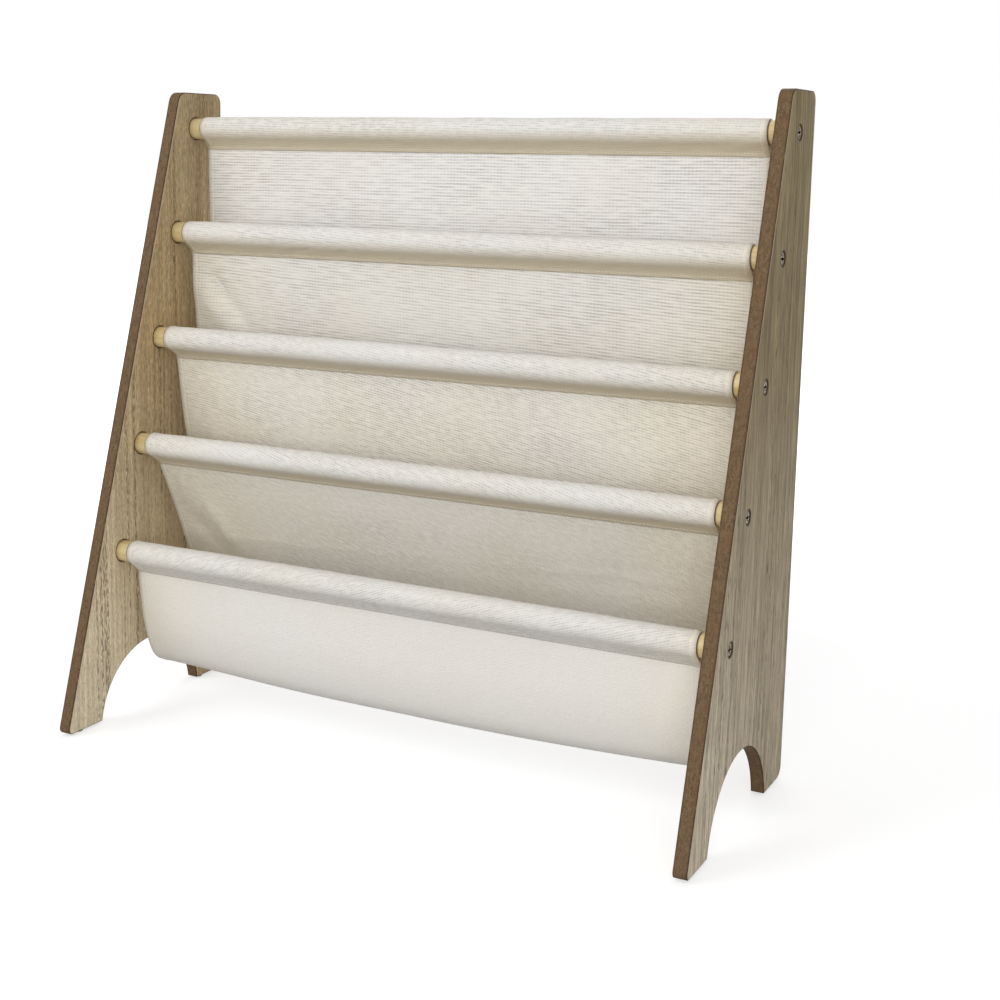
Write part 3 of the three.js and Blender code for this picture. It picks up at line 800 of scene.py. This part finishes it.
def panel_skin(tree, place, is_outer, streaks):
    """The colour of the panels' faces, and their pores."""
    depth, height = parts_of(tree, place)[1:]

    def either(inner, outer):
        return plus(tree, times(tree, is_outer, outer - inner), inner)

    def streaked(base, side):
        shades = [spread(tree, streaks[kind], *look["range"], *look[side]) for kind, look in STREAKS.items()]
        return toned(tree, base, *shades)

    pore = times(tree, spread(tree, streaks["pore_rows"], *PORE_ROW_RANGE),
                 spread(tree, streaks["pore_dashes"], *PORE_DASH_RANGE))
    pore = maths(tree, "MAXIMUM", pore, spread(tree, streaks["lone_pores"], *LONE_PORE_RANGE))
    dash = times(tree, spread(tree, streaks["dash_rows"], *DASH_ROW_RANGE),
                 spread(tree, streaks["dashes"], *ROW_DASH_RANGE))
    dash = maths(tree, "MAXIMUM", spread(tree, streaks["dashes"], *LONE_DASH_RANGE), dash)

    broad = spread(tree, streaks["broad"], *BROAD_RANGE)
    browner = times(tree, spread(tree, depth, *BROWNER_DEPTHS), spread(tree, height, *BROWNER_HEIGHTS))
    tan = mixed(tree, browner, mixed(tree, broad, *TAN_COLOURS), BROWNER_COLOUR)
    # The outer faces' darker taupe is painted shade.
    skin = mixed(tree, is_outer, tan, mixed(tree, broad, *SHADED_TAUPE_COLOURS))
    skin = toned(tree, skin, spread(tree, height, *TOP_HEIGHTS, 1.0, either(INNER_TOP_TONE, OUTER_TOP_TONE)))
    # Painted light, partly a paler tone: paler towards the feet and the front.
    forward = spread(tree, depth, *FOOT_LIGHT_DEPTHS, either(INNER_BACK_LIGHT_SHARE, OUTER_BACK_LIGHT_SHARE), 1.0)
    foot_light = times(tree, spread(tree, height, *FOOT_LIGHT_HEIGHTS), forward)
    skin = mixed(tree, foot_light, skin, mixed(tree, is_outer, INNER_FOOT_LIGHT_COLOUR, OUTER_FOOT_LIGHT_COLOUR))

    outer = mixed(tree, times(tree, pore, PORE_SHARE), streaked(skin, "outer"), PORE_COLOUR)
    # Seen face on, the inner face has shorter streaks, small dark dashes and lines of them.
    short_low = spread(tree, height, *SHORT_LOW_RANGE)
    short = spread(tree, streaks["short"], *SHORT_RANGE, short_low, SHORT_HIGH_TONE)
    inner = toned(tree, streaked(skin, "inner"), short)
    inner = mixed(tree, times(tree, dash, DASH_SHARE), inner, DASH_COLOUR)
    skin = mixed(tree, is_outer, inner, outer)

    # A thin pale line runs down each face beside its front edge.
    slope = (PANEL_BASE_FRONT - PANEL_TOP_FRONT) / (PANEL_TOP - PANEL_FOOT)
    edge_depth = plus(tree, times(tree, height, -slope), PANEL_BASE_FRONT + slope * PANEL_FOOT)
    from_edge = size_of(tree, minus(tree, depth, edge_depth))
    skin = mixed(tree, spread(tree, from_edge, *FRONT_LINE_RANGE), skin, FRONT_LINE_COLOUR)
    # Painted shadow: a dark line runs round each rod on the inner face, and round each screw on the outer
    # one.
    past_hole = minus(tree, from_rods(tree, depth, height), either(ROD_RADIUS, SCREW_HEAD_RADIUS))
    skin = mixed(tree, spread(tree, past_hole, *HOLE_SHADOW_RANGE), skin, HOLE_SHADOW_COLOUR)
    return skin, pore


def panel_edge(tree, aside, looks):
    """The colour of the panels' edges: brown, mottled along their length, and darkest at the corners."""
    edge = mixed(tree, spread(tree, looks["mottle"], *MOTTLE_RANGE), *EDGE_COLOURS)
    edge = mixed(tree, spread(tree, looks["blush"], *BLUSH_RANGE), edge, BLUSH_COLOUR)
    edge = toned(tree, edge, spread(tree, looks["specks"], *SPECK_RANGE))
    from_middle = size_of(tree, minus(tree, size_of(tree, aside), PANEL_MIDDLE))
    corner_places = [PANEL_HALF_THICKNESS - inset for inset in CORNER_INSETS]
    corner_shade = spread(tree, from_middle, *corner_places, 0.0, CORNER_SHARE)
    edge = mixed(tree, corner_shade, edge, CORNER_COLOUR)
    worn = times(tree, spread(tree, looks["wear"], *WEAR_RANGE), spread(tree, from_middle, *WEAR_PLACES))
    return mixed(tree, times(tree, worn, WEAR_SHARE), edge, WEAR_COLOUR)


def panel_material():
    """Board with a wood-look skin on both faces and brown painted edges."""
    material, tree, shader = new_material("panel_board")
    place = object_place(tree)
    aside = parts_of(tree, place)[0]
    true_normal = node(tree, "ShaderNodeNewGeometry").outputs["True Normal"]
    sideways = parts_of(tree, true_normal)[0]
    is_face = maths(tree, "GREATER_THAN", size_of(tree, sideways), FACE_LIMIT)
    is_edge = minus(tree, 1.0, is_face)
    is_outer = maths(tree, "GREATER_THAN", times(tree, sideways, maths(tree, "SIGN", aside)), 0.0)
    # The grain runs up the panel, and each of the four faces has its own.
    face_number = maths(tree, "ROUND", times(tree, aside, FACE_NUMBERS))
    depth_shift, height_shift = (times(tree, face_number, part) for part in GRAIN_SHIFTS)
    own_place = shifted(tree, place, vector(tree, 0.0, depth_shift, height_shift))
    bend = times(tree, pattern(tree, own_place, *BEND_NOISE), GRAIN_BEND)
    streaks = patterns(tree, shifted(tree, own_place, vector(tree, 0.0, bend, 0.0)), GRAIN_NOISE)
    edge_looks = patterns(tree, place, EDGE_NOISE)
    skin, pore = panel_skin(tree, place, is_outer, streaks)
    base = mixed(tree, is_edge, skin, panel_edge(tree, aside, edge_looks))
    tree.links.new(spread(tree, streaks["streak"], *PANEL_ROUGHNESS_RANGE), shader.inputs["Roughness"])
    skin_relief = times(tree, minus(tree, times(tree, streaks["hair"], HAIR_RELIEF), pore), is_face)
    edge_relief = times(tree, edge_looks["mottle"], is_edge, MOTTLE_RELIEF)
    add_bump(tree, shader, plus(tree, skin_relief, edge_relief), PANEL_BUMP)
    finish(tree, shader, base, PANEL_FINISH)
    return material


def rod_material():
    """Bare pine, its grain along the rod, darker beside the panels with dirt and painted shade."""
    material, tree, shader = new_material("rod_pine")
    place = object_place(tree)
    looks = patterns(tree, place, ROD_NOISE)
    base = mixed(tree, spread(tree, looks["broad"], *PINE_RANGE), *PINE_COLOURS)
    base = mixed(tree, spread(tree, looks["grain"], *PINE_GRAIN_RANGE), base, PINE_GRAIN_COLOUR)
    base = mixed(tree, spread(tree, looks["stain"], *PINE_STAIN_RANGE), base, PINE_STAIN_COLOUR)
    base = toned(tree, base, spread(tree, looks["fleck"], *PINE_FLECK_RANGE))
    # Where a sleeve ends, a dark line of painted shadow lies on the rod.
    past_sleeve = minus(tree, size_of(tree, parts_of(tree, place)[0]), CLOTH_HALF_WIDTH)
    # Towards its panel the rod darkens, partly with dirt and partly with painted shade.
    base = mixed(tree, spread(tree, past_sleeve, *ROD_END_DIRT_AND_SHADE_RANGE), base, ROD_END_DIRT_AND_SHADE_COLOUR)
    base = mixed(tree, spread(tree, past_sleeve, *SLEEVE_SHADOW_RANGE), base, SLEEVE_SHADOW_COLOUR)
    add_bump(tree, shader, looks["grain"], ROD_BUMP)
    finish(tree, shader, base, ROD_FINISH)
    return material


def screw_material():
    """Dull plated steel, with painted shade black in the recess and round the head's rim."""
    material, tree, shader = new_material("screw_metal")
    place = object_place(tree)
    aside, depth, height = parts_of(tree, place)
    recess_places = [SCREW_FACE - below for below in RECESS_SHADE_DEPTHS]
    recess_shade = spread(tree, size_of(tree, aside), *recess_places, 1.0, 0.0)
    rim_places = [share * SCREW_HEAD_RADIUS for share in RIM_SHADE_SHARES]
    rim_shade = spread(tree, from_rods(tree, depth, height), *rim_places)
    stain = pattern(tree, place, *SCREW_NOISE)
    base = mixed(tree, spread(tree, stain, *SCREW_STAIN_RANGE), *SCREW_COLOURS)
    # Painted shade round the head's rim and in its recess.
    base = mixed(tree, times(tree, rim_shade, RIM_SHADE_MIX_SHARE), base, RIM_SHADE_COLOUR)
    base = mixed(tree, times(tree, recess_shade, RECESS_SHADE_MIX_SHARE), base, RECESS_SHADE_COLOUR)
    tree.links.new(spread(tree, stain, *SCREW_ROUGHNESS_RANGE), shader.inputs["Roughness"])
    finish(tree, shader, base, SCREW_FINISH)
    return material


def glide_material():
    """Grey-brown plastic with scuffs."""
    material, tree, shader = new_material("glide_plastic")
    base = mixed(tree, pattern(tree, object_place(tree), *GLIDE_NOISE), *GLIDE_COLOURS)
    finish(tree, shader, base, GLIDE_FINISH)
    return material


# CAD pieces: smooth shading over their facets, and their materials

def smoothing_group():
    """Joins the corners of a faceted mesh and shades it smooth, but for edges sharper than the angle."""
    tree = bpy.data.node_groups.new("smooth_facets", "GeometryNodeTree")
    tree.interface.new_socket("Geometry", in_out="INPUT", socket_type="NodeSocketGeometry")
    tree.interface.new_socket("Geometry", in_out="OUTPUT", socket_type="NodeSocketGeometry")
    entry = tree.nodes.new("NodeGroupInput").outputs[0]
    merge = node(tree, "GeometryNodeMergeByDistance", None, Geometry=entry, Distance=WELD_DISTANCE)
    drop = node(tree, "GeometryNodeRemoveAttribute", None, Geometry=merge.outputs[0], Name="custom_normal")
    smooth = node(tree, "GeometryNodeSetShadeSmooth", {"domain": "FACE"}, Geometry=drop.outputs[0])
    angle = tree.nodes.new("GeometryNodeInputMeshEdgeAngle").outputs["Unsigned Angle"]
    is_sharp = maths(tree, "GREATER_THAN", angle, SMOOTH_ANGLE)
    sharp = node(tree, "GeometryNodeSetShadeSmooth", {"domain": "EDGE"}, Geometry=smooth.outputs[0],
                 Selection=is_sharp)
    sharp.inputs["Shade Smooth"].default_value = False
    node(tree, "NodeGroupOutput", None, in0=sharp.outputs[0])
    return tree


def dress_nodes():
    group = smoothing_group()
    looks = {
        "side_panel": panel_material(),
        "rod": rod_material(),
        "screw": screw_material(),
        "glide": glide_material(),
    }
    for name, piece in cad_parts.items():
        for start, material in looks.items():
            if not name.startswith(start):
                continue
            for slot in piece.material_slots:
                slot.link = "OBJECT"
                slot.material = material
            smooth = piece.modifiers.new("smooth_facets", "NODES")
            smooth.node_group = group
            weighted = piece.modifiers.new("weighted", "WEIGHTED_NORMAL")
            weighted.keep_sharp = True
            weighted.weight = NORMAL_WEIGHT


# Stitches

def stitches(name, lines, material):
    """Short threads along lines of (point, normal) pairs, all in one piece."""
    points = []
    faces = []
    turns = range(STITCH_SIDES)
    for line in lines:
        lengths = lengths_along(line[:, :3])
        for centre in np.arange(STITCH_PITCH, lengths[-1] - STITCH_PITCH, STITCH_PITCH):
            start = at_length(line, lengths, centre - STITCH_LENGTH / 2)[:3]
            end = at_length(line, lengths, centre + STITCH_LENGTH / 2)[:3]
            up = at_length(line, lengths, centre)[3:]
            up /= np.linalg.norm(up)
            along = (end - start) / np.linalg.norm(end - start)
            side = np.cross(along, up)
            first_tip = len(points)
            first_ring = first_tip + 1
            second_ring = first_ring + STITCH_SIDES
            last_tip = second_ring + STITCH_SIDES
            points.append(start)
            for share in STITCH_BODY_SHARES:
                middle = start + (end - start) * share
                for turn in turns:
                    angle = math.pi * (2 * turn + 1) / STITCH_SIDES
                    points.append(middle + STITCH_RADIUS * (math.cos(angle) * side + math.sin(angle) * up))
            points.append(end)
            for turn in turns:
                next_turn = (turn + 1) % STITCH_SIDES
                near = first_ring + turn
                near_next = first_ring + next_turn
                far = second_ring + turn
                far_next = second_ring + next_turn
                faces.append((first_tip, near_next, near))
                faces.append((near, near_next, far_next, far))
                faces.append((last_tip, far, far_next))
    made = mesh_object(name, points, faces)
    made.data.materials.append(material)
    made.data.polygons.foreach_set("use_smooth", [True] * len(faces))
    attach(made, "root")
    return made


def surface_line(points, outwards, lift):
    """Rows of a point above the cloth's middle and the direction out of it, without those at its ends."""
    outwards = outwards / np.linalg.norm(outwards, axis=1)[:, None]
    return np.hstack([points + outwards * lift, outwards])[1:-1]


def sling_stitches(row, grid, thread):
    """The stitches of one sling: the seam of each sleeve and both side hems."""
    lines = []
    sleeves = [grid, grid[:, ::-1]] if row == LAST_ROW else [grid]
    rises = (SEAM_STITCH_RISE, SEAM_STITCH_RISE + PLY)
    for sleeve in sleeves:
        pairs = np.array([at_length(line, lengths_along(line), rises) for line in sleeve])
        points = pairs[:, 0]
        outwards = np.cross(X_AXIS, pairs[:, 1] - points)
        outwards *= np.sign(-outwards[:, 1:2])
        lines.append(surface_line(points, outwards, PLY / 2 + STITCH_PROUD))
    normals = np.cross(np.gradient(grid, axis=0), np.gradient(grid, axis=1))
    normals /= np.maximum(np.linalg.norm(normals, axis=2), TINY)[:, :, None]
    steps_in = HEM_STITCH_INSET * ACROSS_STEPS / (2 * CLOTH_HALF_WIDTH)
    whole = int(steps_in)
    rest = steps_in - whole
    for first, second in ((whole, whole + 1), (-1 - whole, -2 - whole)):
        points = grid[first] * (1 - rest) + grid[second] * rest
        outwards = normals[first] * (1 - rest) + normals[second] * rest
        for face in (1, -1):
            lines.append(surface_line(points, face * outwards, HEM_PLY / 2 + STITCH_PROUD))
    return stitches(f"stitches_{row + 1}", lines, thread)


# Stage, light and camera

def seen_directly(tree):
    """1 for what the camera, a reflection or clear glass shows, and 0 for the light that falls on things."""
    path = node(tree, "ShaderNodeLightPath").outputs
    seen = maths(tree, "MAXIMUM", path["Is Camera Ray"], path["Is Glossy Ray"])
    return maths(tree, "MAXIMUM", seen, path["Is Transmission Ray"])


def floor():
    """A floor that shows white to the camera but for the object's shadow."""
    size = FLOOR_HALF_SIZE
    corners = [(-size, -size, 0.0), (size, -size, 0.0), (size, size, 0.0), (-size, size, 0.0)]
    made = mesh_object("floor", corners, [(0, 1, 2, 3)])
    material = bpy.data.materials.new("floor")
    material.use_nodes = True
    tree = material.node_tree
    tree.nodes.clear()
    reach = distance(tree, object_place(tree))
    diffuse = node(tree, "ShaderNodeBsdfDiffuse", None, Color=colour(FLOOR_TONE, FLOOR_TONE, FLOOR_TONE))
    strength = times(tree, seen_directly(tree), spread(tree, reach, *FLOOR_FADE, FLOOR_GLOW, 1.0))
    glow = node(tree, "ShaderNodeEmission", None, Strength=strength)
    total = node(tree, "ShaderNodeAddShader", None, in0=diffuse.outputs[0], in1=glow.outputs[0])
    node(tree, "ShaderNodeOutputMaterial", None, Surface=total.outputs[0])
    made.data.materials.append(material)


def sky():
    """A plain soft light from all sides, which shows as white."""
    world = bpy.data.worlds.new("studio")
    bpy.context.scene.world = world
    world.use_nodes = True
    tree = world.node_tree
    tree.nodes.clear()
    level = spread(tree, seen_directly(tree), 0.0, 1.0, SKY_STRENGTH, 1.0)
    back = node(tree, "ShaderNodeBackground", None, Color=colour(1.0, 1.0, 1.0), Strength=level)
    node(tree, "ShaderNodeOutputWorld", None, Surface=back.outputs[0])


def lamp(name, place, size, power):
    light = bpy.data.lights.new(name, "AREA")
    light.shape = "SQUARE"
    light.size = size
    light.energy = power
    made = bpy.data.objects.new(name, light)
    bpy.context.scene.collection.objects.link(made)
    made.location = place
    direction = Vector(LAMP_TARGET) - Vector(place)
    made.rotation_mode = "QUATERNION"
    made.rotation_quaternion = direction.to_track_quat("-Z", "Y")


def camera():
    data = bpy.data.cameras.new("camera")
    data.sensor_width = SENSOR_WIDTH
    data.lens = CAMERA_FOCAL / IMAGE_SIZE * SENSOR_WIDTH
    data.shift_x, data.shift_y = CAMERA_SHIFT
    data.clip_start = CLIP_START
    data.clip_end = CLIP_END
    made = bpy.data.objects.new("camera", data)
    bpy.context.scene.collection.objects.link(made)
    forward = Vector((
        math.sin(CAMERA_YAW) * math.cos(CAMERA_PITCH),
        math.cos(CAMERA_YAW) * math.cos(CAMERA_PITCH),
        math.sin(CAMERA_PITCH),
    ))
    level = Vector((math.cos(CAMERA_YAW), -math.sin(CAMERA_YAW), 0.0))
    upright = level.cross(forward)
    right = level * math.cos(CAMERA_ROLL) + upright * math.sin(CAMERA_ROLL)
    up = upright * math.cos(CAMERA_ROLL) - level * math.sin(CAMERA_ROLL)
    turn = Matrix((right, up, -forward)).transposed().to_4x4()
    made.matrix_world = Matrix.Translation(Vector(CAMERA_PLACE)) @ turn
    bpy.context.scene.camera = made


dress_nodes()
sleeve_canvases = []
for row, lean in enumerate(SLEEVE_LEANS):
    sleeve_canvases.append(canvas_material(f"canvas_sleeve_{row + 1}", lean=lean, **SLEEVE_CANVAS))
thread = thread_material()
for row, look in enumerate(SHEET_CANVASES):
    calm = [ROW_SPACING * row + length for length in CALM_LENGTHS] if row == LAST_ROW else None
    sheet_canvas = canvas_material(f"canvas_sheet_{row + 1}", calm=calm, **look)
    canvases = [sheet_canvas, sleeve_canvases[row]]
    if row == LAST_ROW:
        canvases.append(sleeve_canvases[row + 1])
    piece, grid = sling(row, canvases)
    sewing = sling_stitches(row, grid, thread)

floor()
sky()
for name, look in LAMPS.items():
    lamp(name, **look)
camera()
bpy.context.scene.view_settings.view_transform = "Standard"
